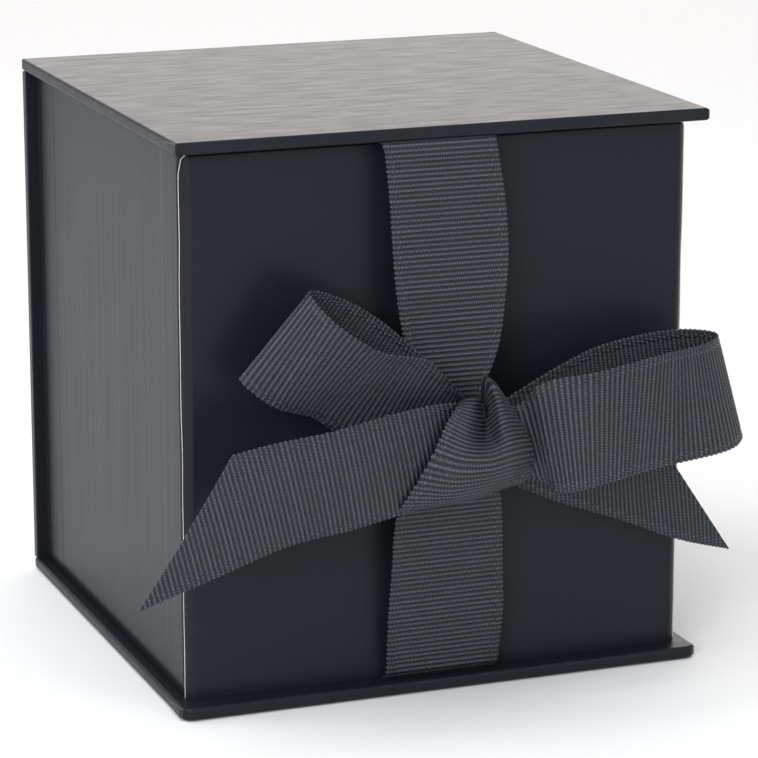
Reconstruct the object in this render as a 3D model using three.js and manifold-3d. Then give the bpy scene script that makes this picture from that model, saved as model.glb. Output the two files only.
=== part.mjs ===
// Small flip-top gift box closed by a tied grosgrain ribbon.
// A hinged case of three covered boards (base, spine, lid) holds a covered tray, and a ribbon
// glued under the lid is tied in a bow with a second one glued under the tray.
// Millimetres, +Z up, bow towards -Y. The origin is the middle of the underside.

import * as THREE from "three";
import { mergeVertices } from "three/addons/utils/BufferGeometryUtils.js";
import Module from "manifold-3d";

// Driving dimensions
const caseWidth = 106;
const caseDepth = 105;
const caseHeight = 109.6;
const boardThick = 2;
const boardInnerCorner = 0.2;
const paperThick = 0.15;
const glueGap = 0.05;
const turnIn = 15;
const caseCorner = 0.8;
const baseFrontCorner = 2.2;
const sideLedge = 2.5;
const frontLedge = 4.5;
const spineSetBack = 0.4;
const trayCorner = 1.6;
const trayRimTurnIn = 20;
const stayReach = 10;
const lidRest = 0.8;
const hingeGap = 0.2;
const liningInset = 4.5;
const liningThick = 0.1;
const lidLiningSetBack = 2;
const lidLiningHingeGap = 1.5;
const spineLiningInset = 1;
const wallLiningDrop = 5;
const stayThick = 0.1;
const stayFoot = 1;
const stayDrop = 3;
const ribbonWidth = 22.5;
const ribbonThick = 0.35;
const anchorLength = 28;
const anchorEndRoom = 1;
const ribbonSideRoom = 0.4;
const ribbonStandOff = 0.6;
const anchorToHinge = 0.5;
const anchorOverhang = 0.8;
const knotSwell = 2;
const bowKnotDepth = 10;

// How far a cutting block runs past the face that it cuts
const beyond = 1;

// Sizes worked out from them
const halfWidth = caseWidth / 2;
const halfDepth = caseDepth / 2;
const cover = paperThick + glueGap;
const panelThick = boardThick + 2 * cover;
const lidUnderside = caseHeight - panelThick;
const trayTop = lidUnderside - lidRest;
const trayBottom = panelThick + glueGap;
const spineBack = halfDepth - spineSetBack;
const spineFront = spineBack - panelThick;
const spineBottom = panelThick + glueGap;
const spineTop = lidUnderside - hingeGap;
const trayHalfWidth = halfWidth - sideLedge;
const trayFront = -halfDepth + frontLedge;
const trayBack = spineFront - cover - glueGap;
const trayMiddle = (trayFront + trayBack) / 2;
const trayHalfDepth = (trayBack - trayFront) / 2;
const trayBoardInset = 2 * cover;
const trayInnerInset = trayBoardInset + boardThick;
const floorBottom = trayBottom + cover;
const floorTop = floorBottom + boardThick;
const liningHalfWidth = halfWidth - liningInset;
const liningFront = trayFront + lidLiningSetBack;
const liningBack = spineFront - lidLiningHingeGap;
const ribbonHingeY = -halfDepth - ribbonStandOff;
const upperRibbonX = -2.2;
const lowerRibbonX = -0.4;

const wasm = await Module();
wasm.setup();

// ---- Solids that are cut or joined ----

function toSolid(geometry) {
  const bare = geometry.clone();
  bare.deleteAttribute("normal");
  bare.deleteAttribute("uv");
  const merged = mergeVertices(bare, 1e-4);
  const mesh = new wasm.Mesh({
    numProp: 3,
    vertProperties: Float32Array.from(merged.attributes.position.array),
    triVerts: Uint32Array.from(merged.index.array),
  });
  return new wasm.Manifold(mesh);
}

function toGeometry(solid) {
  const mesh = solid.getMesh();
  const geometry = new THREE.BufferGeometry();
  geometry.setAttribute("position", new THREE.BufferAttribute(Float32Array.from(mesh.vertProperties), 3));
  geometry.setIndex(Array.from(mesh.triVerts));
  geometry.computeVertexNormals();
  return geometry;
}

// A block between two corners.
function block(low, high) {
  const size = high.map((value, axis) => value - low[axis]);
  const middle = high.map((value, axis) => (value + low[axis]) / 2);
  return new THREE.BoxGeometry(...size).translate(...middle);
}

// An upright block whose four vertical corners are rounded.
function roundedBlock(low, high, radius, backRadius = radius) {
  const shape = new THREE.Shape();
  shape.moveTo(low[0] + radius, low[1]);
  shape.lineTo(high[0] - radius, low[1]);
  shape.absarc(high[0] - radius, low[1] + radius, radius, -Math.PI / 2, 0, false);
  shape.lineTo(high[0], high[1] - backRadius);
  shape.absarc(high[0] - backRadius, high[1] - backRadius, backRadius, 0, Math.PI / 2, false);
  shape.lineTo(low[0] + backRadius, high[1]);
  shape.absarc(low[0] + backRadius, high[1] - backRadius, backRadius, Math.PI / 2, Math.PI, false);
  shape.lineTo(low[0], low[1] + radius);
  shape.absarc(low[0] + radius, low[1] + radius, radius, Math.PI, 1.5 * Math.PI, false);
  const options = { depth: high[2] - low[2], bevelEnabled: false, curveSegments: 5 };
  return new THREE.ExtrudeGeometry(shape, options).translate(0, 0, low[2]);
}

function cut(geometry, ...cutters) {
  return toGeometry(cutters.reduce((solid, cutter) => solid.subtract(toSolid(cutter)), toSolid(geometry)));
}

// ---- Materials ----

const looks = {
  greyboard: { color: 0x8d8a84, roughness: 0.95, metalness: 0 },
  coverPaper: { color: 0x2b2e34, roughness: 0.45, metalness: 0 },
  liningPaper: { color: 0x26282d, roughness: 0.7, metalness: 0 },
  stayPaper: { color: 0xb9a585, roughness: 0.9, metalness: 0 },
  ribbon: { color: 0x3d434b, roughness: 0.75, metalness: 0 },
};

function piece(name, geometry, look) {
  const mesh = new THREE.Mesh(geometry, new THREE.MeshStandardMaterial(looks[look]));
  mesh.name = name;
  return mesh;
}

// ---- Case: base, spine and lid ----

// The cover paper of a flat panel: one skin, its four edges, and turn-ins on the other face,
// open in the middle where the bare board shows.
function panelCover(low, high, openFace, frontCorner) {
  const inside = [low.map((value) => value + paperThick), high.map((value) => value - paperThick)];
  const openHeight = openFace === "top" ? high[2] : low[2];
  const windowLow = [low[0] + turnIn, low[1] + turnIn, openHeight - beyond];
  const windowHigh = [high[0] - turnIn, high[1] - turnIn, openHeight + beyond];
  const skin = roundedBlock(low, high, frontCorner, caseCorner);
  const boardSpace = roundedBlock(...inside, frontCorner - paperThick, caseCorner - paperThick);
  return cut(skin, boardSpace, block(windowLow, windowHigh));
}

function panelBoard(low, high, frontCorner) {
  const insideLow = low.map((value) => value + cover);
  const insideHigh = high.map((value) => value - cover);
  return roundedBlock(insideLow, insideHigh, frontCorner - cover, caseCorner - cover);
}

function baseParts() {
  const low = [-halfWidth, -halfDepth, 0];
  const high = [halfWidth, spineBack, panelThick];
  return [
    piece("base_board", panelBoard(low, high, baseFrontCorner), "greyboard"),
    piece("base_cover", panelCover(low, high, "top", baseFrontCorner), "coverPaper"),
  ];
}

// The cover paper of the spine is a C in plan: back skin, both edges and both turn-ins.
function spineCover() {
  const shape = new THREE.Shape();
  const inner = halfWidth - paperThick;
  const lip = halfWidth - turnIn;
  shape.moveTo(-lip, spineFront);
  shape.lineTo(-halfWidth, spineFront);
  shape.lineTo(-halfWidth, spineBack);
  shape.lineTo(halfWidth, spineBack);
  shape.lineTo(halfWidth, spineFront);
  shape.lineTo(lip, spineFront);
  shape.lineTo(lip, spineFront + paperThick);
  shape.lineTo(inner, spineFront + paperThick);
  shape.lineTo(inner, spineBack - paperThick);
  shape.lineTo(-inner, spineBack - paperThick);
  shape.lineTo(-inner, spineFront + paperThick);
  shape.lineTo(-lip, spineFront + paperThick);
  shape.closePath();
  const options = { depth: spineTop - spineBottom, bevelEnabled: false };
  return new THREE.ExtrudeGeometry(shape, options).translate(0, 0, spineBottom);
}

function spineParts() {
  const low = [-halfWidth + cover, spineFront + cover, spineBottom];
  const high = [halfWidth - cover, spineBack - cover, spineTop];
  const liningLow = [-trayHalfWidth, spineFront - glueGap - paperThick, spineBottom + spineLiningInset];
  const liningHigh = [trayHalfWidth, spineFront - glueGap, spineTop - spineLiningInset];
  return [
    piece("spine_board", block(low, high), "greyboard"),
    piece("spine_cover", spineCover(), "coverPaper"),
    piece("spine_lining", block(liningLow, liningHigh), "liningPaper"),
  ];
}

// The room that the glued end of the upper ribbon takes between the lid and its lining.
function lidRibbonSlot() {
  const side = ribbonWidth / 2 + ribbonSideRoom;
  const bottom = lidUnderside - ribbonThick - 2 * glueGap;
  return block(
    [upperRibbonX - side, liningFront - beyond, bottom],
    [upperRibbonX + side, liningFront + anchorLength, lidUnderside + beyond],
  );
}

function lidParts() {
  const low = [-halfWidth, -halfDepth, lidUnderside];
  const high = [halfWidth, halfDepth, caseHeight];
  const liningLow = [-liningHalfWidth, liningFront, trayTop + glueGap];
  const liningHigh = [liningHalfWidth, liningBack, lidUnderside - glueGap];
  const cardInset = liningThick + glueGap;
  const cardLow = liningLow.map((value) => value + cardInset);
  const cardHigh = [liningHigh[0] - cardInset, liningHigh[1] - cardInset, liningHigh[2]];
  const cardSpaceLow = liningLow.map((value) => value + liningThick);
  const cardSpaceHigh = [liningHigh[0] - liningThick, liningHigh[1] - liningThick, liningHigh[2] + beyond];
  return [
    piece("lid_board", panelBoard(low, high, caseCorner), "greyboard"),
    piece("lid_cover", panelCover(low, high, "bottom", caseCorner), "coverPaper"),
    piece("lid_lining_card", cut(block(cardLow, cardHigh), lidRibbonSlot()), "greyboard"),
    piece(
      "lid_lining_paper",
      cut(block(liningLow, liningHigh), block(cardSpaceLow, cardSpaceHigh), lidRibbonSlot()),
      "liningPaper",
    ),
  ];
}

// ---- Tray ----

// The corners of the tray's outline, drawn in by some distance, at two heights.
function trayBox(inset, bottom, top) {
  return [
    [-trayHalfWidth + inset, trayFront + inset, bottom],
    [trayHalfWidth - inset, trayBack - inset, top],
  ];
}

// The room under the tray for the glued end of the lower ribbon.
function trayRibbonSlot() {
  const side = ribbonWidth / 2 + ribbonSideRoom;
  const top = panelThick + ribbonThick + 4 * glueGap;
  return block(
    [lowerRibbonX - side, trayFront - beyond, trayBottom - beyond],
    [lowerRibbonX + side, trayFront + anchorLength, top],
  );
}

// One paper skin: up the outside, over the rim and down the inside, and in under the floor.
function trayCover() {
  const boardBottom = trayBottom + paperThick;
  const boardTop = trayTop - paperThick;
  const innerSkin = trayInnerInset + glueGap;
  const outside = roundedBlock(...trayBox(0, trayBottom, trayTop), trayCorner);
  const boardCorner = trayCorner - paperThick;
  const boards = toSolid(roundedBlock(...trayBox(paperThick, boardBottom, boardTop), boardCorner));
  const turnedIn = toSolid(block(...trayBox(innerSkin, trayTop - trayRimTurnIn, trayTop)));
  const boardSpace = toGeometry(boards.subtract(turnedIn));
  const room = block(...trayBox(innerSkin + paperThick, trayTop - trayRimTurnIn - beyond, trayTop + beyond));
  const floorWindow = block(...trayBox(turnIn, trayBottom - beyond, boardBottom + beyond));
  return cut(outside, boardSpace, room, floorWindow, trayRibbonSlot());
}

function trayWallBoards() {
  const [low, high] = trayBox(trayBoardInset, floorBottom, trayTop - cover);
  const innerLow = low[1] + boardThick;
  const innerHigh = high[1] - boardThick;
  const boardCorner = trayCorner - trayBoardInset;
  return [
    piece(
      "tray_front_board",
      cut(roundedBlock(low, [high[0], innerLow, high[2]], boardCorner, boardInnerCorner), trayRibbonSlot()),
      "greyboard",
    ),
    piece(
      "tray_back_board",
      roundedBlock([low[0], innerHigh, low[2]], high, boardInnerCorner, boardCorner),
      "greyboard",
    ),
    piece(
      "tray_left_board",
      block([low[0], innerLow + glueGap, low[2]], [low[0] + boardThick, innerHigh - glueGap, high[2]]),
      "greyboard",
    ),
    piece(
      "tray_right_board",
      block([high[0] - boardThick, innerLow + glueGap, low[2]], [high[0], innerHigh - glueGap, high[2]]),
      "greyboard",
    ),
  ];
}

function trayFloorParts() {
  const boardBox = trayBox(trayInnerInset + glueGap, floorBottom, floorTop);
  const liningBox = trayBox(trayInnerInset + 3 * glueGap, floorTop + glueGap, floorTop + cover);
  return [
    piece("tray_floor_board", cut(block(...boardBox), trayRibbonSlot()), "greyboard"),
    piece("tray_floor_lining", block(...liningBox), "liningPaper"),
  ];
}

function trayWallLining() {
  const outer = trayInnerInset + cover + glueGap;
  const bottom = floorTop + cover + glueGap;
  const top = trayTop - wallLiningDrop;
  const room = block(...trayBox(outer + liningThick, bottom - beyond, top + beyond));
  return cut(block(...trayBox(outer, bottom, top)), room);
}

// Paper tape folded round one corner of the tray's boards.
function cornerStay(xSide, ySide) {
  const inner = trayBoardInset - glueGap;
  const outer = inner - stayThick;
  const bottom = floorBottom + stayFoot;
  const top = trayTop - stayDrop;
  const tape = toSolid(roundedBlock(...trayBox(outer, bottom, top), trayCorner - outer));
  const boards = toSolid(roundedBlock(...trayBox(inner, bottom - beyond, top + beyond), trayCorner - inner));
  const xs = [xSide * (trayHalfWidth - stayReach), xSide * (trayHalfWidth + beyond)].sort((a, b) => a - b);
  const ys = [
    trayMiddle + ySide * (trayHalfDepth - stayReach),
    trayMiddle + ySide * (trayHalfDepth + beyond),
  ].sort((a, b) => a - b);
  const corner = toSolid(block([xs[0], ys[0], bottom], [xs[1], ys[1], top]));
  return toGeometry(tape.subtract(boards).intersect(corner));
}

function trayParts() {
  const corners = [
    ["front_left", -1, -1],
    ["front_right", 1, -1],
    ["back_left", -1, 1],
    ["back_right", 1, 1],
  ];
  return [
    ...trayFloorParts(),
    ...trayWallBoards(),
    ...corners.map(([name, xSide, ySide]) => {
      return piece(`tray_stay_${name}`, cornerStay(xSide, ySide), "stayPaper");
    }),
    piece("tray_cover", trayCover(), "coverPaper"),
    piece("tray_wall_lining", trayWallLining(), "liningPaper"),
  ];
}

// ---- Ribbon ----

function smoothCurve(points) {
  return new THREE.CatmullRomCurve3(points.map((point) => new THREE.Vector3(...point)), false, "centripetal");
}

// A stretch of ribbon ruled between its two long edges, each a smooth curve through its points.
function ribbonStretch(edgeA, edgeB, steps) {
  const curveA = smoothCurve(edgeA);
  const curveB = smoothCurve(edgeB);
  const middle = (t) => curveA.getPoint(t).add(curveB.getPoint(t)).multiplyScalar(0.5);
  const positions = [];
  for (let step = 0; step <= steps; step += 1) {
    const t = step / steps;
    const a = curveA.getPoint(t);
    const b = curveB.getPoint(t);
    const along = middle(Math.min(1, t + 0.01)).sub(middle(Math.max(0, t - 0.01)));
    const out = b.clone().sub(a).cross(along).setLength(ribbonThick / 2);
    const ring = [a.clone().add(out), b.clone().add(out), b.clone().sub(out), a.clone().sub(out)];
    ring.forEach((point) => positions.push(point.x, point.y, point.z));
  }
  const last = 4 * steps;
  const faces = [[0, 2, 1], [0, 3, 2], [last, last + 1, last + 2], [last, last + 2, last + 3]];
  for (let step = 0; step < steps; step += 1) {
    for (let side = 0; side < 4; side += 1) {
      const a = 4 * step + side;
      const b = 4 * step + ((side + 1) % 4);
      faces.push([a, b, a + 4], [b, b + 4, a + 4]);
    }
  }
  const geometry = new THREE.BufferGeometry();
  geometry.setAttribute("position", new THREE.Float32BufferAttribute(positions, 3));
  geometry.setIndex(faces.flat());
  geometry.computeVertexNormals();
  return geometry;
}

// Edge points of each stretch, [x, y, z]: first edge, then second edge.
const upperStrap = [
  [[-13.3, -53.1, 106.6], [-12.7, -53.1, 102], [-12.1, -53.3, 95], [-11.8, -54.3, 85], [-11.2, -55.4, 76],
    [-9.8, -55.8, 68], [-7, -56, 61]],
  [[8.9, -53.1, 106.6], [9.8, -53.1, 102], [10.8, -53.3, 95], [11.1, -54.3, 85], [10, -55.4, 76],
    [8.4, -55.8, 68], [5, -56, 61]],
];
const lowerStrap = [
  [[-11.7, -49.2, 2.65], [-11.7, -50.1, 3.6], [-11.7, -50.6, 7], [-11.8, -51.6, 15], [-11.4, -52.5, 25],
    [-11, -52.8, 35], [-9, -52.8, 44]],
  [[10.9, -49.2, 2.65], [11.2, -50.1, 3.6], [11.5, -50.6, 7], [11.8, -51.6, 15], [11.2, -52.5, 25],
    [10.6, -52.8, 35], [9, -52.8, 44]],
];
const leftLoop = [
  [[-4.5, -63.4, 63.3], [-8.8, -65, 68.4], [-19, -66, 71.4], [-27.9, -64, 78], [-30.3, -60, 82.2],
    [-22.2, -56.6, 79.3], [-15.2, -56.6, 74.8], [-9.6, -57.4, 69.8], [-4.4, -59, 64.7]],
  [[-12.5, -62, 48], [-17, -62, 50.5], [-27.9, -59, 57.7], [-37.4, -59, 61.2], [-42.9, -57, 66.3],
    [-34.5, -54.6, 62.5], [-27, -54, 56.5], [-19, -55, 51], [-12.5, -57.5, 48]],
];
const rightLoop = [
  [[10.5, -62.8, 58.5], [13.2, -65, 62.1], [24, -68, 64.3], [36.7, -67, 66.1], [48.7, -64, 67],
    [51.7, -60, 67.6], [45.6, -57.2, 68.2], [29.2, -57, 66.4], [20.5, -57.8, 63.5], [11.3, -60, 60.1]],
  [[15.5, -62.5, 42.5], [17.5, -65, 40.8], [24.4, -68, 42.4], [35, -67.5, 44.2], [54.9, -63, 45.5],
    [57.8, -59.5, 46.8], [51, -57.2, 45.5], [33, -57, 43], [23, -57.8, 41], [15, -60, 42]],
];
const leftTail = [
  [[-6, -66.8, 60.6], [-15.7, -68, 60.2], [-29.4, -68.5, 57.9], [-40.6, -67, 56.2], [-48.3, -66, 54.3]],
  [[-16, -64.6, 40.3], [-25.1, -65, 37.8], [-36.3, -65.5, 36.6], [-48, -65.5, 32.7], [-64.6, -64, 26.5]],
];
const rightTail = [
  [[15, -56, 53], [21, -55.2, 57], [28, -54.6, 57.5], [34, -54.3, 56], [38.9, -54, 54.1]],
  [[13.6, -55, 39.8], [22.2, -54.5, 35.6], [35.2, -54, 30.6], [48, -54, 25.2], [57.2, -54, 22.9]],
];

// The knot's outline as seen from the front, [x, z], swelling a little towards the viewer.
const knotOutline = [
  [-2.5, 60.6], [1.5, 61.8], [5, 62], [8.6, 55], [12, 47.6], [9.6, 43.8], [3, 42], [-5, 41], [-12.4, 41.4],
];
const knotBack = -57.6;

function knot() {
  const shape = new THREE.Shape(knotOutline.map(([x, z]) => new THREE.Vector2(x, z)));
  const options = {
    depth: bowKnotDepth - 2 * knotSwell,
    bevelEnabled: true,
    bevelSize: knotSwell,
    bevelOffset: -knotSwell,
    bevelThickness: knotSwell,
    bevelSegments: 2,
  };
  return new THREE.ExtrudeGeometry(shape, options).rotateX(Math.PI / 2).translate(0, knotBack - knotSwell, 0);
}

function ribbonAnchor(middleX, low, high) {
  return block([middleX - ribbonWidth / 2, ...low], [middleX + ribbonWidth / 2, ...high]);
}

function ribbonParts() {
  const underLid = lidUnderside - glueGap;
  const upperAnchor = ribbonAnchor(
    upperRibbonX,
    [ribbonHingeY + anchorToHinge, underLid - ribbonThick],
    [liningFront + anchorLength - anchorEndRoom, underLid],
  );
  const onBase = panelThick + glueGap;
  const lowerAnchor = ribbonAnchor(
    lowerRibbonX,
    [trayFront - anchorOverhang, onBase],
    [trayFront + anchorLength - anchorEndRoom, onBase + ribbonThick],
  );
  return [
    piece("upper_ribbon_anchor", upperAnchor, "ribbon"),
    piece("upper_ribbon_strap", ribbonStretch(...upperStrap, 24), "ribbon"),
    piece("lower_ribbon_anchor", lowerAnchor, "ribbon"),
    piece("lower_ribbon_strap", ribbonStretch(...lowerStrap, 24), "ribbon"),
    piece("bow_knot", knot(), "ribbon"),
    piece("bow_left_loop", ribbonStretch(...leftLoop, 48), "ribbon"),
    piece("bow_right_loop", ribbonStretch(...rightLoop, 48), "ribbon"),
    piece("bow_left_tail", ribbonStretch(...leftTail, 16), "ribbon"),
    piece("bow_right_tail", ribbonStretch(...rightTail, 16), "ribbon"),
  ];
}

const giftBox = new THREE.Group();
giftBox.add(...baseParts(), ...spineParts(), ...lidParts(), ...trayParts(), ...ribbonParts());

export default giftBox;
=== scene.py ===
"""Small flip-top gift box in charcoal cover paper, tied shut with a grosgrain bow.

The case is three covered boards (base, spine and lid). A covered tray stands on the base. A ribbon
glued under the lid hangs down the front and is tied with a second one that comes from under the tray.
Metres, +Z up, bow towards -Y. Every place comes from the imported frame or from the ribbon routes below.
Those are the CAD model's own, in millimetres, except that the upper strap runs further back under the lid
and the left loop is a little fuller near the knot.
"""

import math

import bmesh
import bpy
import numpy as np
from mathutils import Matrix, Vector


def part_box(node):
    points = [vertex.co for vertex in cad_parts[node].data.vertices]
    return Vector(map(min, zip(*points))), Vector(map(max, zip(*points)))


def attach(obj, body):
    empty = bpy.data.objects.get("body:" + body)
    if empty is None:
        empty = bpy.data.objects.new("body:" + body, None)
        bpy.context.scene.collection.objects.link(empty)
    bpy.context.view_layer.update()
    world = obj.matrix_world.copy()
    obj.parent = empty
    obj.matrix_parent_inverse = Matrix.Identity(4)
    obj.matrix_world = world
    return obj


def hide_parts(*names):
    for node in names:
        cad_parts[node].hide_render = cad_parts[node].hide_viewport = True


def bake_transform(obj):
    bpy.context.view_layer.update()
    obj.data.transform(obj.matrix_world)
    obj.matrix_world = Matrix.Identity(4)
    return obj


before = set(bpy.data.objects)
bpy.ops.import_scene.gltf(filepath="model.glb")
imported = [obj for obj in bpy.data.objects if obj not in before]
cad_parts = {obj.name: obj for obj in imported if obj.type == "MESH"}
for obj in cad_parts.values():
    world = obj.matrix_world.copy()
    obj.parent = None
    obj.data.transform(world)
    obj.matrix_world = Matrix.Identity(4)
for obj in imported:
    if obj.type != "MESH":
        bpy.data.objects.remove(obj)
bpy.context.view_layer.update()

# ---- Sizes ----

MM = 0.001
PAPER = 0.15 * MM
BASE_EDGE = 0.65 * MM
LID_EDGE = 0.5 * MM
SPINE_EDGE = 0.3 * MM
BASE_CORNER = 2.2 * MM
BACK_CORNER = 0.8 * MM
LID_CORNER = 0.4 * MM
SPINE_CORNER = 0.3 * MM
SPINE_TURN_OVER = 0.1 * MM
FLAP_REACH = 9 * MM
FLAP_LIFT = 0.2 * MM
FLAP_TOP_SHARE = 0.7
FLAP_FOOT_SHARE = 0.95
FLAP_START_SHARE = 0.6
FLAP_CURL_SHARE = 0.4
FLAP_ROWS = 11
FLAP_COLUMNS = 26
FOLD_SKIN = 0.06 * MM
FOLD_SIDE_ROOM = 0.6 * MM
FOLD_FOOT_GAP = 0.4
FOLD_BEND = 1.0
TRAY_CORNER = 1.65 * MM
TRAY_CORNER_FLATNESS = 1.35
TRAY_SKIN = 0.14 * MM
TRAY_WALL = 2.5 * MM
RIM_EDGE = 0.45 * MM
RIM_TURN_IN = 20 * MM
EAR_REACH = 10.5 * MM
EAR_LIFT = 0.1 * MM
EAR_SLOPE = 0.8 * MM
SIDE_PAPER_GAP = 0.01 * MM
SIDE_EDGE_REACH = 12 * MM
RIM_CURL_HEIGHT = 2.5 * MM
RIM_CURL_SHARE = 0.75
# The waver of a hand-cut paper edge: the height, length and start of each wave.
EDGE_WAVES = ((0.16 * MM, 9 * MM, 0), (0.1 * MM, 3.1 * MM, 1))
OUTLINE_STEP = 1.0 * MM

RIBBON_WIDTH = 22.5 * MM
RIBBON_THICK = 0.45 * MM
RIB_PITCH = 0.95 * MM
RIB_SAMPLES = 6
RIB_DEPTH = 0.2 * MM
WARP_PITCH = 0.5
SELVEDGE = 1.5 * MM
SCALLOP = 0.1 * MM
HOLLOW_SHARE = 0.36
LOOP_HOLLOW = 1.5 * MM
LEFT_TAIL_CROWN = -0.8 * MM


# ---- Ribbon routes, in millimetres: the first long edge, then the second ----

UPPER_STRAP = (
    [(-13.4, -45.6, 106.97), (-13.4, -52.2, 106.97), (-13.3, -53.1, 106.2),
     (-12.7, -53.1, 102), (-12.1, -53.3, 95), (-11.8, -54.3, 85),
     (-11.2, -55.4, 76), (-9.8, -56.4, 68), (-7, -58, 61), (-5, -59, 56)],
    [(9, -45.6, 106.97), (9, -52.2, 106.97), (9, -53.1, 106.2),
     (9.8, -53.1, 102), (10.8, -53.3, 95), (11.1, -54.3, 85),
     (10, -55.4, 76), (8.4, -56.4, 68), (5, -58, 61), (3, -59, 56)],
)
LOWER_STRAP = (
    [(-11.7, -49.2, 2.65), (-11.7, -50.1, 3.6), (-11.7, -50.6, 7), (-11.8, -51.6, 15),
     (-11.4, -52.5, 25), (-11, -53.4, 35), (-9, -55, 44)],
    [(10.9, -49.2, 2.65), (11.2, -50.1, 3.6), (11.5, -50.6, 7), (11.8, -51.6, 15),
     (11.2, -52.5, 25), (10.6, -53.4, 35), (9, -55, 44)],
)
LEFT_LOOP = (
    [(1, -61, 59), (-4.5, -63.4, 63.3), (-8.8, -65, 68.4), (-19, -66, 71.4), (-27.9, -64, 78),
     (-30.3, -60, 82.2), (-22.2, -56.6, 79.3), (-15.2, -56.6, 74.8), (-9.6, -57.4, 69.8),
     (-4.4, -59, 64.7), (0, -60, 60)],
    [(-5, -61, 47), (-12.5, -62, 48), (-17, -62, 50.5), (-27.9, -59, 57.7), (-37.4, -59, 61.2),
     (-42.9, -57, 66.3), (-34.5, -54.6, 62.5), (-27, -54, 56.5), (-19, -55, 51),
     (-12.5, -57.5, 48), (-6, -59, 47)],
)
RIGHT_LOOP = (
    [(5, -62, 56), (10.5, -62.8, 58.5), (13.2, -65, 62.1), (24, -68, 64.3), (36.7, -67, 66.1),
     (48.7, -64, 67), (51.7, -60, 67.6), (45.6, -57.2, 68.2), (29.2, -57, 66.4),
     (20.5, -57.8, 63.5), (11.3, -60, 60.1), (5, -60.5, 57)],
    [(8, -62, 44), (15.5, -62.5, 42.5), (17.5, -65, 40.8), (24.4, -68, 42.4), (35, -67.5, 44.2),
     (54.9, -63, 45.5), (57.8, -59.5, 46.8), (51, -57.2, 45.5), (33, -57, 43),
     (23, -57.8, 41), (15, -60, 42), (8, -60.5, 44)],
)
LEFT_TAIL = (
    [(3, -64, 59), (-6, -66.4, 60.6), (-15.7, -68, 60.2), (-29.4, -68.5, 57.9), (-40.6, -67, 56.2),
     (-55, -65.6, 53), (-71, -64, 49)],
    [(5, -62, 43), (-2, -63.6, 41), (-10.5, -64.6, 40.4), (-24.5, -65, 37.9), (-35.5, -65.5, 36.6),
     (-49.5, -65.4, 32.2), (-65.4, -64, 26.3)],
)
RIGHT_TAIL = (
    [(4, -57.5, 52), (12, -56.5, 58), (21, -55.4, 57), (33, -54.6, 53), (45, -54.3, 49), (60, -54, 45)],
    [(4, -57.5, 44), (12, -55.8, 40.4), (22.2, -54.5, 35.6), (35.2, -54, 30.6), (48, -54, 25.2),
     (60, -54, 21.8)],
)
# Each tail is cut along a line through two points, [x, z], seen from the front.
LEFT_TAIL_CUT = ((-47.9, 54.0), (-64.8, 26.9))
RIGHT_TAIL_CUT = ((48.4, 37.6), (58.6, 22.4))

# The band round the knot: rows run down its front and up its back, points run from left to right.
KNOT_ROWS = [
    [(0, -61, 58.5), (2, -61, 59), (4.5, -58.5, 58), (2.5, -63.5, 64.2), (6, -60, 62)],
    [(-3, -66, 60.5), (-0.5, -66.5, 60.5), (4, -60.5, 58.5), (2.5, -68.5, 63), (7, -62, 60)],
    [(-6.5, -68.5, 58), (-3, -70, 56), (2.5, -66, 54), (3, -71.5, 57.5), (10, -63.5, 55)],
    [(-9.5, -68.5, 52), (-5, -71, 50.5), (1, -71.5, 50), (4.5, -71.8, 51), (12.5, -64, 49)],
    [(-13, -67, 45), (-7, -69.5, 44.5), (0.5, -69.5, 45), (4.5, -68, 45), (12.5, -62, 44)],
    [(-15, -65.5, 41), (-7.5, -67, 41.5), (1.5, -66, 42), (5, -64.5, 42.5), (11, -60.5, 42)],
    [(-12.5, -61, 41), (-6, -60.5, 41), (2, -59.5, 41.5), (6, -59, 42), (10.5, -58, 42.5)],
    [(-9, -58, 46), (-4, -57.5, 46), (1, -57.2, 46.5), (5.5, -57, 47), (9.5, -57, 47.5)],
    [(-4, -57.6, 54), (-1, -57.3, 54), (2.5, -57.2, 54), (5.5, -57.2, 54.5), (8, -57.4, 55)],
]

# ---- Node helpers ----


def material(name, color, roughness, specular=0.5, sheen=0.0):
    """A new material with one Principled shader, its node tree and its shader."""
    made = bpy.data.materials.new(name)
    made.use_nodes = True
    shader = made.node_tree.nodes["Principled BSDF"]
    shader.inputs["Base Color"].default_value = (*color, 1)
    shader.inputs["Roughness"].default_value = roughness
    shader.inputs["Specular IOR Level"].default_value = specular
    shader.inputs["Sheen Weight"].default_value = sheen
    made.diffuse_color = (*color, 1)
    return made, made.node_tree, shader


def node(tree, kind, settings=None, **inputs):
    """A node with some settings, and inputs that are values or sockets."""
    made = tree.nodes.new(kind)
    for key, value in (settings or {}).items():
        setattr(made, key, value)
    for key, value in inputs.items():
        socket = made.inputs[int(key[1:]) if key[0] == "_" else key.replace("_", " ")]
        if isinstance(value, bpy.types.NodeSocket):
            tree.links.new(value, socket)
        else:
            socket.default_value = value
    return made


def math_node(tree, operation, first, second=0.0, third=0.0):
    return node(tree, "ShaderNodeMath", {"operation": operation}, _0=first, _1=second, _2=third).outputs[0]


def stretched_noise(tree, scale, detail=4.0):
    """Noise in object space with its own scale along each axis, in cycles per metre."""
    place = node(tree, "ShaderNodeTexCoord")
    mapped = node(tree, "ShaderNodeMapping", _0=place.outputs["Object"], _3=scale)
    return node(tree, "ShaderNodeTexNoise", Vector=mapped.outputs[0], Scale=1.0, Detail=detail).outputs[0]


def ramp(tree, factor, low, high):
    """Factor 0 to 1 turned into a value from low to high, clamped."""
    return node(tree, "ShaderNodeMapRange", Value=factor, _1=0.3, _2=0.7, _3=low, _4=high).outputs[0]


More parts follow.
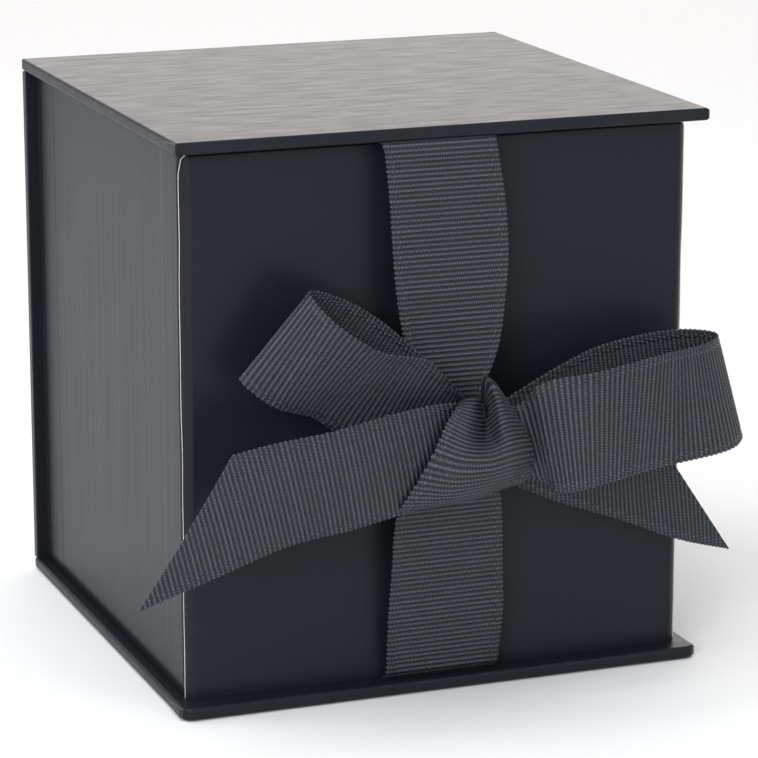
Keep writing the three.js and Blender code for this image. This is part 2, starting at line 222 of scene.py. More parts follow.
def tint(tree, factor, first, second):
    """A colour between two, by factor."""
    mix = node(tree, "ShaderNodeMix", {"data_type": "RGBA"}, _0=factor, _6=(*first, 1), _7=(*second, 1))
    return mix.outputs[2]


def bump(tree, shader, height, strength, distance):
    made = node(tree, "ShaderNodeBump", Strength=strength, Distance=distance, Height=height)
    tree.links.new(made.outputs[0], shader.inputs["Normal"])


# ---- Materials ----


def cover_paper(name, streaks, brushing, relief):
    """Dyed satin cover paper, brushed along one axis; streaks is the noise scale on X, Y and Z."""
    made, tree, shader = material(name, (0.0102, 0.012, 0.0168), 0.37, specular=0.17)
    brushed = stretched_noise(tree, streaks)
    cloudy = stretched_noise(tree, (28, 28, 28), 2.0)
    fibre = stretched_noise(tree, (2600, 2600, 2600), 2.0)
    half = math_node(tree, "MULTIPLY", math_node(tree, "ADD", brushed, cloudy), 0.5)
    colour = tint(tree, half, (0.0085, 0.0102, 0.0145), (0.0118, 0.0138, 0.0192))
    tree.links.new(colour, shader.inputs["Base Color"])
    tree.links.new(ramp(tree, brushed, 0.33, 0.41), shader.inputs["Roughness"])
    bump(tree, shader, math_node(tree, "MULTIPLY_ADD", fibre, 0.35, brushed), brushing, relief)
    return made


def plain_paper(name, dark, light, roughness, grain_size):
    """Matt paper or board: mottled colour, fibres and a fine tooth."""
    made, tree, shader = material(name, light, roughness, specular=0.3)
    mottled = stretched_noise(tree, (grain_size, grain_size * 1.7, grain_size), 6.0)
    tooth = stretched_noise(tree, (grain_size * 6, grain_size * 9, grain_size * 6), 3.0)
    tree.links.new(tint(tree, mottled, dark, light), shader.inputs["Base Color"])
    tree.links.new(ramp(tree, tooth, roughness - 0.08, roughness + 0.05), shader.inputs["Roughness"])
    bump(tree, shader, tooth, 0.35, 0.00005)
    return made


def grosgrain(name, mapped):
    """Polyester grosgrain: warp yarns show as a row of beads along each weft rib, partly as painted glints.
    Its colour carries painted shade and highlight: nearly black in the grooves between the ribs, lighter on
    their crests.

    Mapped ribbons carry their own map and have their ribs in the mesh; the others run along Y.
    """
    made, tree, shader = material(name, (0.028, 0.031, 0.036), 0.42, specular=0.45, sheen=0.05)
    shader.inputs["Sheen Roughness"].default_value = 0.4
    if mapped:
        route = node(tree, "ShaderNodeUVMap", {"uv_map": "RibbonMap"}).outputs[0]
    else:
        place = node(tree, "ShaderNodeTexCoord").outputs["Object"]
        scale = (1 / MM, 1 / RIB_PITCH, 1)
        turned = node(tree, "ShaderNodeMapping", _0=place, _3=scale).outputs[0]
        axes = node(tree, "ShaderNodeSeparateXYZ", _0=turned).outputs
        route = node(tree, "ShaderNodeCombineXYZ", _0=axes[1], _1=axes[0]).outputs[0]
    split = node(tree, "ShaderNodeSeparateXYZ", _0=route)
    ribs, across = split.outputs[0], split.outputs[1]
    own_rib = math_node(tree, "FLOOR", math_node(tree, "ADD", ribs, 0.5))
    fuzz = node(tree, "ShaderNodeTexNoise", Vector=route, Scale=2.4, Detail=3.0).outputs[0]
    drift = math_node(tree, "MULTIPLY_ADD", fuzz, 3.0, math_node(tree, "MULTIPLY", own_rib, 2.4))
    turn = math_node(tree, "MULTIPLY_ADD", across, 2 * math.pi / WARP_PITCH, drift)
    wave = math_node(tree, "MULTIPLY_ADD", math_node(tree, "SINE", turn), 0.5, 0.5)
    # The warp yarns' beads, used in the bump and in the colour; in the colour they are partly the weave's
    # pattern and partly painted glints on the rib crests.
    bead = math_node(tree, "POWER", wave, 1.4)
    per_rib = node(tree, "ShaderNodeTexWhiteNoise", {"noise_dimensions": "1D"}, W=own_rib).outputs[0]
    yarn = math_node(tree, "MULTIPLY_ADD", fuzz, 0.7, math_node(tree, "MULTIPLY", bead, 0.6))
    shade = math_node(tree, "MULTIPLY_ADD", per_rib, 0.16, yarn)
    level = node(tree, "ShaderNodeMapRange", Value=shade, _1=0.3, _2=1.05, _3=0.0, _4=1.0).outputs[0]
    # Painted shade and highlight: the colour runs from nearly black in each rib's groove to the lit yarn
    # colour on its crest.
    crest = math_node(tree, "COSINE", math_node(tree, "MULTIPLY", ribs, 2 * math.pi))
    lit = node(tree, "ShaderNodeMapRange", Value=crest, _1=-0.2, _2=0.95, _3=0.0, _4=1.0).outputs[0]
    top = tint(tree, level, (0.003, 0.004, 0.006), (0.074, 0.096, 0.136))
    colour = node(tree, "ShaderNodeMix", {"data_type": "RGBA"}, _0=lit, _6=(0.002, 0.0023, 0.003, 1), _7=top)
    tree.links.new(colour.outputs[2], shader.inputs["Base Color"])
    tree.links.new(ramp(tree, fuzz, 0.36, 0.5), shader.inputs["Roughness"])
    bump(tree, shader, yarn, 0.8, 0.00016)
    return made


WALL_PAPER = cover_paper("cover_paper_upright", (1500, 1500, 9), 0.1, 0.03 * MM)
FLAT_PAPER = cover_paper("cover_paper_flat", (110, 420, 420), 0.6, 0.08 * MM)
LINING = plain_paper("lining_paper_matt", (0.012, 0.0125, 0.014), (0.026, 0.027, 0.03), 0.7, 700)
GREYBOARD = plain_paper("greyboard_bare", (0.2, 0.19, 0.175), (0.34, 0.325, 0.3), 0.92, 500)
STAY_TAPE = plain_paper("stay_tape_kraft", (0.36, 0.28, 0.19), (0.5, 0.4, 0.28), 0.88, 600)
RAW_EDGE = plain_paper("paper_raw_edge", (0.55, 0.54, 0.52), (0.85, 0.84, 0.82), 0.85, 900)
# Painted highlight: a lighter grey for the rim of each folded corner flap, standing in for the gloss along
# the fold.
FOLD_RIM_HIGHLIGHT = plain_paper("paper_fold_rim_painted_highlight", (0.045, 0.048, 0.055), (0.09, 0.095, 0.105), 0.6, 900)
GROSGRAIN = grosgrain("ribbon_grosgrain", mapped=True)
HIDDEN_GROSGRAIN = grosgrain("ribbon_grosgrain_flat", mapped=False)

# ---- Mesh helpers ----


def mesh_object(name, points, faces, materials):
    mesh = bpy.data.meshes.new(name)
    mesh.from_pydata(np.asarray(points, float).tolist(), [], faces)
    for each in materials:
        mesh.materials.append(each)
    mesh.shade_smooth()
    mesh.update()
    made = bpy.data.objects.new(name, mesh)
    bpy.context.scene.collection.objects.link(made)
    return made


def weighted(obj):
    """Keeps the wide faces flat in shading and the narrow rounded ones smooth."""
    modifier = obj.modifiers.new("weighted", "WEIGHTED_NORMAL")
    modifier.weight = 80
    return obj


def grid_faces(rows, columns, close_rows=False, close_columns=False, first=0):
    """Quads over a grid of points; either direction can close on itself."""
    faces = []
    for r in range(rows if close_rows else rows - 1):
        for c in range(columns if close_columns else columns - 1):
            below = (r + 1) % rows
            right = (c + 1) % columns
            faces.append((first + r * columns + c, first + r * columns + right,
                          first + below * columns + right, first + below * columns + c))
    return faces


def ring(low, high, inset, corner, back_corner=None, flatness=1.0, arc_steps=8):
    """Points round a rectangle with rounded corners, anticlockwise and always as many.

    The two corners at the back can have a radius of their own. A flatness over 1 draws each corner
    towards a straight cut.
    """
    lo = np.array(low) + inset
    hi = np.array(high) - inset
    front = max(corner, 0.02 * MM)
    back = front if back_corner is None else max(back_corner, 0.02 * MM)
    radii = (front, back, back, front)
    counts = [max(4, round((high[k] - low[k]) / OUTLINE_STEP)) for k in (0, 1)]
    centres = [(hi[0] - front, lo[1] + front), (hi[0] - back, hi[1] - back),
               (lo[0] + back, hi[1] - back), (lo[0] + front, lo[1] + front)]
    points = []
    for k, centre in enumerate(centres):
        start = (k - 1) * math.pi / 2
        radius = radii[k]
        for step in range(arc_steps + 1):
            angle = start + step * math.pi / 2 / arc_steps
            round_point = (math.cos(angle), math.sin(angle))
            turned = [math.copysign(abs(part) ** flatness, part) for part in round_point]
            points.append((centre[0] + radius * turned[0], centre[1] + radius * turned[1]))
        last = np.array(points[-1])
        following = centres[(k + 1) % 4]
        turn = start + math.pi / 2
        target = np.array(following) + radii[(k + 1) % 4] * np.array((math.cos(turn), math.sin(turn)))
        count = counts[(k + 1) % 2]
        points += [tuple(last + (target - last) * step / count) for step in range(1, count)]
    return np.array(points)


def quarter(centre, radius, start, steps=5):
    """Points on a quarter circle, [outward offset, height], from an angle in quarter turns."""
    turns = [(start - step / steps) * math.pi / 2 for step in range(steps + 1)]
    return [(centre[0] + radius * math.cos(turn), centre[1] + radius * math.sin(turn)) for turn in turns]


# ---- Case ----


def panel(name, low, high, thin, paper, corner, edge):
    """A board wrapped in paper, with rounded edges and rounded corners."""
    axes = [k for k in range(3) if k != thin]
    plan_low = [low[k] for k in axes]
    plan_high = [high[k] for k in axes]
    middle = (low[thin] + high[thin]) / 2
    half = (high[thin] - low[thin]) / 2
    straight = np.linspace(half - edge, -half + edge, 9)[1:-1]
    profile = quarter((-edge, half - edge), edge, 1)
    profile += [(0.0, height) for height in straight]
    profile += [(offset, -height) for offset, height in reversed(quarter((-edge, half - edge), edge, 1))]
    points = []
    for offset, height in profile:
        flat = ring(plan_low, plan_high, -offset, corner + offset, min(corner, BACK_CORNER) + offset)
        layer = np.zeros((len(flat), 3))
        layer[:, axes[0]] = flat[:, 0]
        layer[:, axes[1]] = flat[:, 1]
        layer[:, thin] = middle + height
        points.append(layer)
    rows, columns = len(points), len(points[0])
    faces = grid_faces(rows, columns, close_columns=True)
    faces.append(tuple(range(columns - 1, -1, -1)))
    faces.append(tuple((rows - 1) * columns + c for c in range(columns)))
    made = mesh_object(name, np.concatenate(points), faces, [paper])
    fix_normals(made)
    return weighted(made)


def fix_normals(obj):
    work = bmesh.new()
    work.from_mesh(obj.data)
    bmesh.ops.recalc_face_normals(work, faces=work.faces)
    work.to_mesh(obj.data)
    work.free()


def finish_piece(obj, body, slot_name, *nodes):
    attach(obj, body)
    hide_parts(*nodes)
    return obj


base_low, base_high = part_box("base_cover")
lid_low, lid_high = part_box("lid_cover")
spine_low, spine_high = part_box("spine_cover")
base_panel = panel("case_base_panel", base_low, base_high, 2, FLAT_PAPER, BASE_CORNER, BASE_EDGE)
finish_piece(base_panel, "box", "cover_paper", "base_cover")
lid_panel = panel("case_lid_panel", lid_low, lid_high, 2, FLAT_PAPER, LID_CORNER, LID_EDGE)
finish_piece(lid_panel, "lid", "cover_paper", "lid_cover")
# The paper turns over the spine board's top edge.
spine_top = spine_high + Vector((0, 0, SPINE_TURN_OVER))
spine_panel = panel("case_spine_panel", spine_low, spine_top, 1, WALL_PAPER, SPINE_CORNER, SPINE_EDGE)
finish_piece(spine_panel, "box", "cover_paper", "spine_cover")


def fold_flap(name, low, high, side, corner, edge, body):
    """The folded corner of the cover paper, which lies on a panel's side edge next to its front corner."""
    half = (high.z - low.z) / 2
    along = np.linspace(0, 1, FLAP_COLUMNS)
    start = low.y + FLAP_START_SHARE * corner
    points = []
    for level, spread in ((FLAP_LIFT, FLAP_TOP_SHARE), (-FLAP_LIFT, FLAP_FOOT_SHARE)):
        for share in np.linspace(-1, 1, FLAP_ROWS):
            z = share * spread * half * np.sqrt(1 - along**2)
            past = np.clip(np.abs(z) - (half - edge), 0, edge)
            sink = edge - np.sqrt(edge**2 - past**2)
            reach = along * FLAP_REACH * spread
            near = np.clip(FLAP_CURL_SHARE * corner - reach, 0, corner)
            sink += corner - np.sqrt(corner**2 - near**2)
            x = (low.x if side < 0 else high.x) + side * (level - sink)
            points.append(np.column_stack([x, start + reach, (low.z + high.z) / 2 + z]))
    rows, columns = FLAP_ROWS, FLAP_COLUMNS
    top = grid_faces(rows, columns)
    faces = top + [tuple(rows * columns + k for k in reversed(face)) for face in top]
    faces += rim_faces(rows, columns, rows * columns)
    made = mesh_object(name, np.concatenate(points), faces, [FLAT_PAPER, FOLD_RIM_HIGHLIGHT])
    # The rim faces take the painted highlight grey.
    for face in made.data.polygons[2 * len(top):]:
        face.material_index = 1
    work = bmesh.new()
    work.from_mesh(made.data)
    bmesh.ops.remove_doubles(work, verts=work.verts, dist=0.002 * MM)
    bmesh.ops.recalc_face_normals(work, faces=work.faces)
    work.to_mesh(made.data)
    work.free()
    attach(weighted(made), body)


def hinge_fold():
    """The strip of cover paper that joins the spine's back to the lid's back edge."""
    hinge_z = (spine_high.z + lid_low.z) / 2
    foot = (base_high.z - hinge_z) / MM + FOLD_FOOT_GAP
    below = np.linspace(foot, -FOLD_BEND - 0.2, 60)
    bend = np.linspace(-FOLD_BEND, FOLD_BEND, 21)
    heights = np.concatenate([below, bend, [1.2, 1.5, 1.75]]) * MM
    across = np.linspace(base_low.x + FOLD_SIDE_ROOM, base_high.x - FOLD_SIDE_ROOM, 40)
    points = []
    for side in (FOLD_SKIN + PAPER / 2, FOLD_SKIN):
        for height in heights:
            t = np.clip(height / MM * 0.5 + 0.5, 0, 1)
            blend_in = t * t * (3 - 2 * t)
            y = spine_high.y + (lid_high.y - spine_high.y) * blend_in + side
            points.append(np.array([(x, y, hinge_z + height) for x in across]))
    rows, columns = len(heights), len(across)
    top = grid_faces(rows, columns)
    faces = top + [tuple(rows * columns + k for k in reversed(face)) for face in top]
    faces += rim_faces(rows, columns, rows * columns)
    made = mesh_object("case_hinge_fold", np.concatenate(points), faces, [WALL_PAPER])
    fix_normals(made)
    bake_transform(made)


def rim_faces(rows, columns, shift):
    """Quads that join the borders of two equal grids, the second shift points later."""
    border = [(0, c) for c in range(columns)] + [(r, columns - 1) for r in range(1, rows)]
    border += [(rows - 1, c) for c in range(columns - 2, -1, -1)] + [(r, 0) for r in range(rows - 2, 0, -1)]
    index = [r * columns + c for r, c in border]
    return [(a, a + shift, b + shift, b) for a, b in zip(index, index[1:] + index[:1])]


hinge_fold()
for side, side_name in ((-1, "left"), (1, "right")):
    base_flap = f"case_base_flap_front_{side_name}"
    fold_flap(base_flap, base_low, base_high, side, BASE_CORNER, BASE_EDGE, "box")
    lid_flap = f"case_lid_flap_front_{side_name}"
    fold_flap(lid_flap, lid_low, lid_high, side, LID_CORNER, LID_EDGE, "lid")

# ---- Tray ----

tray_low, tray_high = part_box("tray_cover")


def tray_profile():
    """Offsets and heights of the wall's skin, from the outer foot over the rim to the end of the turn-in."""
    top = tray_high.z
    edge = RIM_EDGE
    outer = [(0.0, z) for z in np.linspace(tray_low.z, top - edge - 0.4 * MM, 40)]
    over = [(offset, z) for offset, z in reversed(quarter((-edge, top - edge), edge, 1))]
    inner = [(-TRAY_WALL - offset, z) for offset, z in quarter((-edge, top - edge), edge, 1)]
    down = [(-TRAY_WALL, z) for z in np.linspace(top - edge - 0.4 * MM, top - RIM_TURN_IN, 10)]
    path = np.array(outer + over + inner + down)
    tangent = np.gradient(path, axis=0)
    normal = np.stack([tangent[:, 1], -tangent[:, 0]], 1)
    return path, normal / np.linalg.norm(normal, axis=1)[:, None]


def tray_skin():
    """The paper over the tray's four walls, folded over the rim and down the inside."""
    path, normal = tray_profile()
    back = path - normal * TRAY_SKIN
    points = []
    for offset, z in [*path, *back[::-1]]:
        inset = -offset
        corner = TRAY_CORNER - min(inset, TRAY_CORNER - 0.1 * MM)
        flat = ring(tray_low[:2], tray_high[:2], inset, corner, flatness=TRAY_CORNER_FLATNESS)
        points.append(np.column_stack([flat, np.full(len(flat), z)]))
    columns = len(points[0])
    faces = grid_faces(len(points), columns, close_rows=True, close_columns=True)
    made = mesh_object("tray_wall_paper", np.concatenate(points), faces, [WALL_PAPER])
    fix_normals(made)
    finish_piece(weighted(made), "box", "cover_paper", "tray_cover")


def corner_sink(distance):
    """How far the tray's corner falls back from the side wall's face, at a distance past that face."""
    power = 2 / TRAY_CORNER_FLATNESS
    return TRAY_CORNER * (1 - (1 - (distance / TRAY_CORNER) ** power) ** (1 / power))


def side_paper(name, side):
    """The second paper on a side wall, flush with the corner, over the ears of the front and back papers."""
    path, normal = tray_profile()
    front = tray_low.y + TRAY_CORNER
    back = tray_high.y - TRAY_CORNER
    depth = back - front
    slope = np.linspace(EAR_REACH - EAR_SLOPE, EAR_REACH + EAR_SLOPE, 9)
    end = np.concatenate([np.linspace(0, EAR_REACH - 1 * MM, 8), slope])
    between = np.linspace(EAR_REACH + 3 * MM, depth - EAR_REACH - 3 * MM, 24)
    steps = np.concatenate([end, between, depth - end[::-1]])
    edge_x = tray_low.x if side < 0 else tray_high.x
    wander = sum(height * np.sin(path[:, 1] / length + start) for height, length, start in EDGE_WAVES)
    near_rim = np.clip((path[:, 1] - tray_high.z + RIM_CURL_HEIGHT) / RIM_CURL_HEIGHT, 0, 1)
    wander -= RIM_CURL_SHARE * TRAY_CORNER * near_rim**2
    layers = []
    for level in (PAPER, 0.0):
        for k, ((offset, z), (out, up)) in enumerate(zip(path, normal)):
            near = np.minimum(steps, depth - steps)
            outside = np.clip(1 + 2 * offset / TRAY_WALL, 0, 1)
            ear = outside * EAR_LIFT * np.clip((EAR_REACH + EAR_SLOPE / 2 - near) / EAR_SLOPE, 0, 1)
            fade = np.clip(near / SIDE_EDGE_REACH, 0, 1)
            y = front + steps + wander[k] * (1 - fade)
            lift = level + ear + SIDE_PAPER_GAP
            sink = corner_sink(np.clip(front - y, 0, TRAY_CORNER))
            points = np.column_stack([edge_x + side * (offset - sink + out * lift), y, z + up * lift])
            layers.append(points)
    rows, columns = len(path), len(steps)
    top = grid_faces(rows, columns)
    faces = top + [tuple(rows * columns + k for k in reversed(face)) for face in top]
    rims = rim_faces(rows, columns, rows * columns)
    made = mesh_object(name, np.concatenate(layers), faces + rims, [WALL_PAPER, RAW_EDGE])
    for face in made.data.polygons[len(faces):]:
        face.material_index = 1
        face.use_smooth = False
    fix_normals(made)
    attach(made, "box")


tray_skin()
side_paper("tray_side_paper_left", -1)
side_paper("tray_side_paper_right", 1)

# ---- Ribbon ----


def smooth_curve(points, samples):
    """A centripetal Catmull-Rom curve through the points, at evenly spread parameters."""
    points = np.asarray(points, float)
    padded = np.vstack([2 * points[0] - points[1], points, 2 * points[-1] - points[-2]])
    gaps = np.maximum(np.linalg.norm(np.diff(padded, axis=0), axis=1) ** 0.5, 1e-9)
    knots = np.concatenate([[0], np.cumsum(gaps)])
    spans = len(points) - 1
    where = np.linspace(0, spans, samples)
    span = np.minimum(where.astype(int), spans - 1)
    t0, t1, t2, t3 = (knots[span + k] for k in range(4))
    p0, p1, p2, p3 = (padded[span + k] for k in range(4))
    t = (t1 + (where - span) * (t2 - t1))[:, None]
    t0, t1, t2, t3 = (x[:, None] for x in (t0, t1, t2, t3))
    a1 = (t1 - t) / (t1 - t0) * p0 + (t - t0) / (t1 - t0) * p1
    a2 = (t2 - t) / (t2 - t1) * p1 + (t - t1) / (t2 - t1) * p2
    a3 = (t3 - t) / (t3 - t2) * p2 + (t - t2) / (t3 - t2) * p3
    b1 = (t2 - t) / (t2 - t0) * a1 + (t - t0) / (t2 - t0) * a2
    b2 = (t3 - t) / (t3 - t1) * a2 + (t - t1) / (t3 - t1) * a3
    return (t2 - t) / (t2 - t1) * b1 + (t - t1) / (t2 - t1) * b2


def evenly(points, count):
    """A grid of points [along, across, xyz] resampled to even steps along its middle."""
    middle = points[:, points.shape[1] // 2]
    length = np.concatenate([[0], np.cumsum(np.linalg.norm(np.diff(middle, axis=0), axis=1))])
    where = np.linspace(0, length[-1], count)
    flat = points.reshape(len(points), -1)
    even = np.stack([np.interp(where, length, column) for column in flat.T], 1)
    return even.reshape(count, *points.shape[1:]), where


def soften(points, passes):
    """Averages neighbours along the first axis and keeps both ends."""
    for _ in range(passes):
        points[1:-1] = (points[:-2] + 2 * points[1:-1] + points[2:]) / 4
    return points


def across_places(width):
    """Distances across a ribbon: close together in both selvedges."""
    body = np.linspace(SELVEDGE, width - SELVEDGE, 25)[1:-1]
    edge = np.linspace(0, SELVEDGE, 9)
    return np.concatenate([edge, body, width - edge[::-1]])


def rib_height(along, across, width):
    """Half the ribbon's thickness at a place: round weft ribs, and two plaited cords in each selvedge."""
    turn = 2 * math.pi * along / RIB_PITCH
    rib = np.abs(np.cos(turn / 2)) ** 0.7
    edge = np.minimum(across, width - across)
    cord = np.where(edge < SELVEDGE / 2, 0.0, 1.0)
    plait = 0.5 + 0.5 * np.cos(turn + math.pi * cord + 3 * (edge / SELVEDGE - 0.5))
    round_cord = np.abs(np.sin(math.pi * edge / (SELVEDGE / 2))) ** 0.5
    in_selvedge = 1 / (1 + np.exp((edge - SELVEDGE) / (0.05 * MM)))
    body = RIBBON_THICK / 2 - RIB_DEPTH * (1 - rib)
    selvedge = RIBBON_THICK / 2 * (0.5 + 0.3 * round_cord + 0.35 * plait * round_cord)
    return body * (1 - in_selvedge) + selvedge * in_selvedge


def woven(name, surface, width, closed=False):
    """A thick ribbed ribbon over a surface [along, across, xyz], with its own map."""
    middle = surface[:, surface.shape[1] // 2]
    length = np.linalg.norm(np.diff(middle, axis=0), axis=1).sum()
    ribs = max(4, round(length / RIB_PITCH))
    grid, where = evenly(surface, ribs * RIB_SAMPLES + 1)
    along = where * ribs * RIB_PITCH / length
    places = across_places(width)
    share = np.linspace(0, 1, grid.shape[1])
    spread = np.stack([
        np.stack([np.interp(places / width, share, row[:, axis]) for axis in range(3)], 1) for row in grid
    ])
    if grid.shape[1] > 2:
        spread = soften(spread.transpose(1, 0, 2), 3).transpose(1, 0, 2)
    lengthwise = np.gradient(spread, axis=0)
    crosswise = np.gradient(spread, axis=1)
    normal = np.cross(crosswise, lengthwise)
    normal /= np.maximum(np.linalg.norm(normal, axis=2), 1e-12)[:, :, None]
    crosswise /= np.maximum(np.linalg.norm(crosswise, axis=2), 1e-12)[:, :, None]
    height = rib_height(along[:, None], places[None, :], width)
    scallop = SCALLOP * np.cos(2 * math.pi * along / RIB_PITCH)[:, None]
    outward = np.clip(1 - places / SELVEDGE, 0, 1) - np.clip(1 - (width - places) / SELVEDGE, 0, 1)
    spread = spread - crosswise * (scallop * outward[None, :])[:, :, None]
    front = spread + normal * height[:, :, None]
    back = spread - normal * height[:, :, None]
    rows, columns = front.shape[:2]
    if closed:
        front, back, rows = front[:-1], back[:-1], rows - 1
    top = grid_faces(rows, columns, close_rows=closed)
    faces = top + [tuple(rows * columns + k for k in reversed(face)) for face in top]
    if closed:
        for c in (0, columns - 1):
            index = [r * columns + c for r in range(rows)]
            shift = rows * columns
            faces += [(a, a + shift, b + shift, b) for a, b in zip(index, index[1:] + index[:1])]
    else:
        faces += rim_faces(rows, columns, rows * columns)
    points = np.concatenate([front.reshape(-1, 3), back.reshape(-1, 3)])
    made = mesh_object(name, points, faces, [GROSGRAIN])
    map_ribbon(made.data, np.repeat(along[:rows], columns), np.tile(places, rows), rows * columns)
    fix_normals(made)
    return made


def map_ribbon(mesh, along, across, count):
    """UV along the ribbon in ribs, and across it in millimetres."""
    layer = mesh.uv_layers.new(name="RibbonMap")
    corners = np.zeros(len(mesh.loops), int)
    mesh.loops.foreach_get("vertex_index", corners)
    uv = np.stack([along / RIB_PITCH, across / MM], 1)[corners % count]
    layer.data.foreach_set("uv", uv.astype(np.float32).ravel())


def stretch(name, edges, crown=0.0, hollow=0.0, smoothing=60, samples=900):
    """A ribbon ruled between its two long edges.

    Crown is how far its middle stands out all along; hollow is how far it does so near the first end,
    where a loop is gathered into the knot.
    """
    first, second = (smooth_curve(np.array(edge) * MM, samples) for edge in edges)
    first, second = soften(first, smoothing), soften(second, smoothing)
    shares = np.linspace(0, 1, 9)
    surface = first[:, None] * (1 - shares)[None, :, None] + second[:, None] * shares[None, :, None]
    normal = np.cross(second - first, np.gradient((first + second) / 2, axis=0))
    normal /= np.linalg.norm(normal, axis=1)[:, None]
    near_knot = np.sin(math.pi * np.clip(np.linspace(0, 1, samples) / HOLLOW_SHARE, 0, 1)) ** 2
    depth = crown + hollow * near_knot
    rise = depth[:, None] * (1 - (2 * shares - 1) ** 2)
    surface = surface + normal[:, None] * rise[:, :, None]
    return woven(name, surface, RIBBON_WIDTH)


def cut_end(obj, line, keep_right):
    """Cuts a ribbon's end off along a line seen from the front, and closes the cut."""
    (x1, z1), (x2, z2) = line
    point = Vector((x1, 0, z1)) * MM
    normal = Vector((z1 - z2, 0, x2 - x1)).normalized()
    if (normal.x > 0) == keep_right:
        normal = -normal
    work = bmesh.new()
    work.from_mesh(obj.data)
    everything = [*work.verts, *work.edges, *work.faces]
    bmesh.ops.bisect_plane(work, geom=everything, plane_co=point, plane_no=normal, clear_outer=True)
    rim = [edge for edge in work.edges if edge.is_boundary]
    bmesh.ops.holes_fill(work, edges=rim, sides=0)
    bmesh.ops.recalc_face_normals(work, faces=work.faces)
    work.to_mesh(obj.data)
    work.free()


def place_ribbon(obj, body, cad_node):
    finish_piece(obj, body, "ribbon", cad_node)


def place_tail(obj, cad_node):
    """A tail with a slanted end: its area is the width times the mean of its two selvedges."""
    finish_piece(obj, "bow", "ribbon", cad_node)


def knot_band():
    """The band that wraps the knot, a closed loop with a deep fold near its right edge."""
    rows = np.array(KNOT_ROWS) * MM
    looped = np.concatenate([rows[-2:], rows, rows[:3]])
    columns = []
    for column in looped.transpose(1, 0, 2):
        whole = smooth_curve(column, (len(looped) - 1) * 60 + 1)
        columns.append(whole[2 * 60 : (2 + len(rows)) * 60 + 1])
    lines = np.stack(columns, 1)
    surface = np.stack([smooth_curve(line, 33) for line in lines])
    return woven("bow_knot_band", surface, RIBBON_WIDTH, closed=True)


place_ribbon(knot_band(), "bow", "bow_knot")
left_loop = stretch("bow_left_loop_ribbon", LEFT_LOOP, hollow=LOOP_HOLLOW)
place_ribbon(left_loop, "bow", "bow_left_loop")
right_loop = stretch("bow_right_loop_ribbon", RIGHT_LOOP)
place_ribbon(right_loop, "bow", "bow_right_loop")
left_tail = stretch("bow_left_tail_ribbon", LEFT_TAIL, crown=LEFT_TAIL_CROWN)
cut_end(left_tail, LEFT_TAIL_CUT, keep_right=True)
place_tail(left_tail, "bow_left_tail")
right_tail = stretch("bow_right_tail_ribbon", RIGHT_TAIL)
cut_end(right_tail, RIGHT_TAIL_CUT, keep_right=False)
place_tail(right_tail, "bow_right_tail")
upper_strap = stretch("ribbon_upper_strap", UPPER_STRAP, smoothing=8)
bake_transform(upper_strap)
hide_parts("upper_ribbon_strap")
lower_strap = stretch("ribbon_lower_strap", LOWER_STRAP)
place_ribbon(lower_strap, "box", "lower_ribbon_strap")

# ---- Finishes of the CAD nodes that stay ----

NODE_LOOKS = {
    "_board": GREYBOARD,
    "_lining": LINING,
    "_lining_card": GREYBOARD,
    "_anchor": HIDDEN_GROSGRAIN,
    "_stay_": STAY_TAPE,
}
for name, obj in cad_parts.items():
    for part, look in NODE_LOOKS.items():
        if part in name:
            for place in obj.material_slots:
                place.material = look

# ---- Floor, light and camera ----

WORLD_LEVEL = 0.6
FLOOR_RADIUS = 4.0
FLOOR_GAP = 0.2 * MM
FLOOR_COLOR = (0.88, 0.88, 0.88)
LIT_POINT = (0, 0, 0.05)
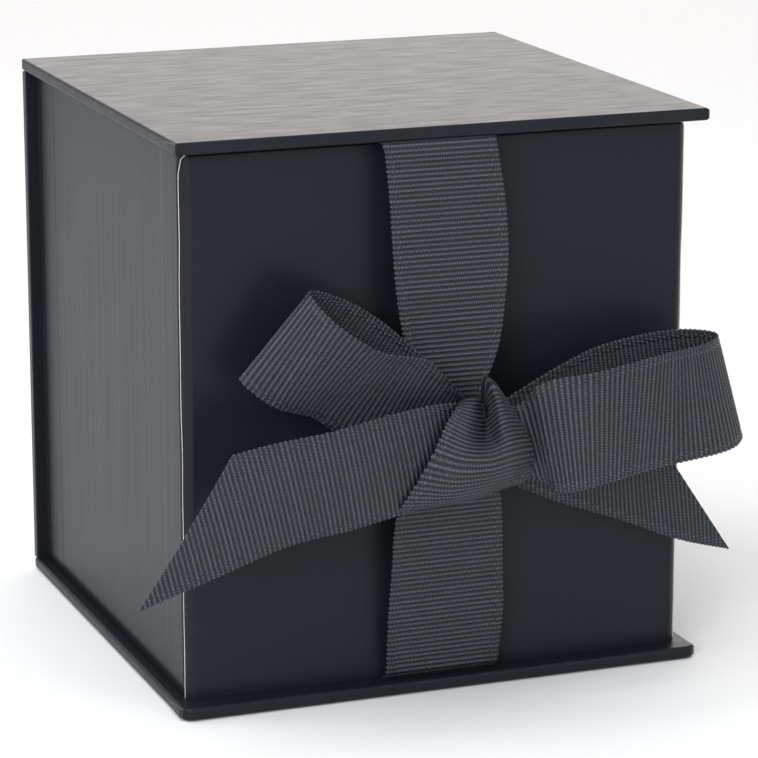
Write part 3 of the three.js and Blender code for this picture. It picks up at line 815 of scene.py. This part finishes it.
# Each softbox: name, place, size, power and colour. All face the lit point.
SOFTBOXES = (
    ("top_softbox", (-0.2, -0.1, 1.2), (1, 1), 8, (1, 1, 1)),
    ("back_softbox", (0.7, 1.84, 0.6), (1.8, 1.0), 11, (1, 0.92, 0.89)),
    ("left_softbox", (-0.45, 0.35, 0.4), (0.3, 0.3), 0.9, (0.9, 0.93, 1)),
    ("front_softbox", (-0.6, -0.7, 0.4), (0.4, 0.4), 4.2, (0.93, 0.96, 1)),
    ("right_softbox", (0.6, -0.9, 0.4), (0.4, 0.4), 1.2, (0.93, 0.96, 1)),
)
CAMERA_PLACE = (-0.2361, -0.6353, 0.2206)
CAMERA_LENS = 164.2
CAMERA_SENSOR = 36
CAMERA_TILT = 14.21
CAMERA_TURN = 20.86


def studio_world():
    """An even pale room."""
    world = bpy.data.worlds.new("studio")
    bpy.context.scene.world = world
    world.use_nodes = True
    background = world.node_tree.nodes["Background"]
    background.inputs["Color"].default_value = (1, 1, 1, 1)
    background.inputs["Strength"].default_value = WORLD_LEVEL


def floor():
    """A plain pale floor."""
    mesh = bpy.data.meshes.new("studio_floor")
    work = bmesh.new()
    bmesh.ops.create_circle(work, cap_ends=True, segments=96, radius=FLOOR_RADIUS)
    work.to_mesh(mesh)
    work.free()
    obj = bpy.data.objects.new("studio_floor", mesh)
    bpy.context.scene.collection.objects.link(obj)
    mesh.materials.append(material("studio_floor_pale", FLOOR_COLOR, 0.9, specular=0.2)[0])
    obj.location.z = -FLOOR_GAP


def softbox(name, place, size, power, color):
    light = bpy.data.lights.new(name, "AREA")
    light.shape = "RECTANGLE"
    light.size, light.size_y = size
    light.energy = power
    light.color = color
    obj = bpy.data.objects.new(name, light)
    obj.location = place
    obj.rotation_euler = (Vector(LIT_POINT) - Vector(place)).to_track_quat("-Z", "Y").to_euler()
    bpy.context.scene.collection.objects.link(obj)


def camera():
    data = bpy.data.cameras.new("camera")
    data.lens = CAMERA_LENS
    data.sensor_width = CAMERA_SENSOR
    data.clip_start = 0.05
    data.clip_end = 50
    obj = bpy.data.objects.new("camera", data)
    obj.location = CAMERA_PLACE
    obj.rotation_euler = (math.radians(90 - CAMERA_TILT), 0, math.radians(-CAMERA_TURN))
    bpy.context.scene.collection.objects.link(obj)
    bpy.context.scene.camera = obj


studio_world()
floor()
for softbox_row in SOFTBOXES:
    softbox(*softbox_row)
camera()
bpy.context.scene.view_settings.view_transform = "Standard"
bpy.context.scene.view_settings.look = "None"
